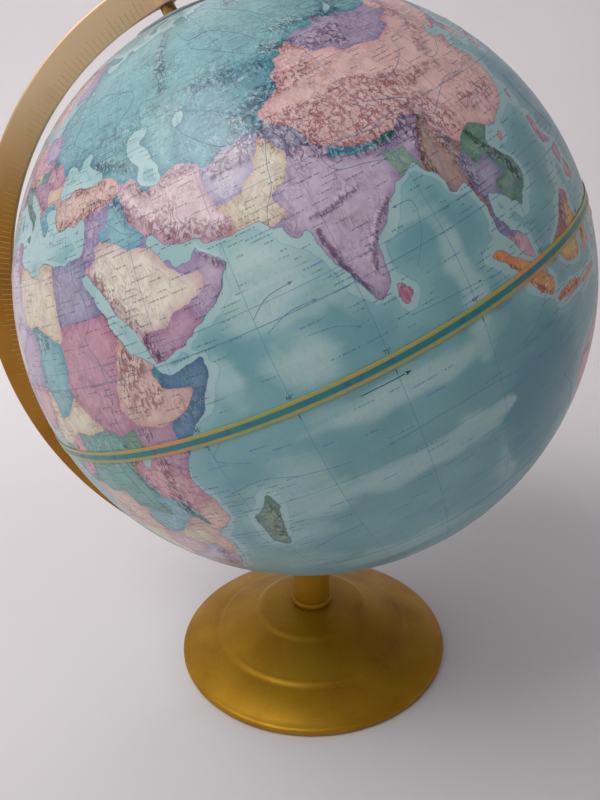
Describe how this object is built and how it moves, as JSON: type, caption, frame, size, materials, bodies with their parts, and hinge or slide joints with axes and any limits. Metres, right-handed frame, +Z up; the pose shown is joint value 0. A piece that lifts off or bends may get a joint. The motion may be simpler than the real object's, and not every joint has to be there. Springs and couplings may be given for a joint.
{
  "type": "desktop globe on stand",
  "caption": "Raised-relief world globe that turns on a tilted axle in a half-ring arm, on a short post and a stepped round metal base.",
  "frame": {"origin": "centre of the felt pad's underside, on the surface that the globe stands on", "axes": "+Z up through the post and the ball's centre; the arm lies in the XZ plane on the -X side, with the north pole tilted 23.5 degrees towards -X; the picture's camera looks along +Y"},
  "size_m": [0.3272, 0.3058, 0.4071],
  "materials": {
    "gold_paint": "antique gold-bronze paint, satin",
    "brass": "polished",
    "zinc_plate": "zinc plated",
    "map_print": "printed raised-relief map under clear satin varnish",
    "tape": "printed band, satin",
    "dial": "satin, with hour marks",
    "nylon": "moulded",
    "board": "pressed fibreboard",
    "felt": "wool felt"
  },
  "bodies": {
    "stand": {"base_shell": "gold_paint", "felt_pad": "felt", "bottom_board": "board", "bearing_plate": "zinc_plate", "stem_flat_washer": "zinc_plate", "stem_lock_washer": "zinc_plate", "stem_bolt": "zinc_plate", "post": "gold_paint", "post_foot_ring": "gold_paint", "meridian_arm": "gold_paint", "axle_rod": "zinc_plate", "north_collar": "brass", "south_collar": "brass", "north_washer": "brass", "south_washer": "zinc_plate", "north_nut": "brass", "south_nut": "zinc_plate"},
    "globe": {"north_hemisphere": "map_print", "south_hemisphere": "map_print", "joint_ring": "board", "equator_tape": "tape", "north_bushing": "nylon", "south_bushing": "nylon", "north_retainer": "zinc_plate", "south_retainer": "zinc_plate"},
    "dial": {"time_dial": "dial"}
  },
  "joints": [
    {"name": "globe_spin", "type": "hinge", "parent": "stand", "child": "globe", "pos_m": [0, 0, 0.235], "axis": [-0.3987, 0, 0.9171], "continuous": true},
    {"name": "dial_turn", "type": "hinge", "parent": "stand", "child": "dial", "pos_m": [0, 0, 0.235], "axis": [-0.3987, 0, 0.9171], "continuous": true}
  ]
}
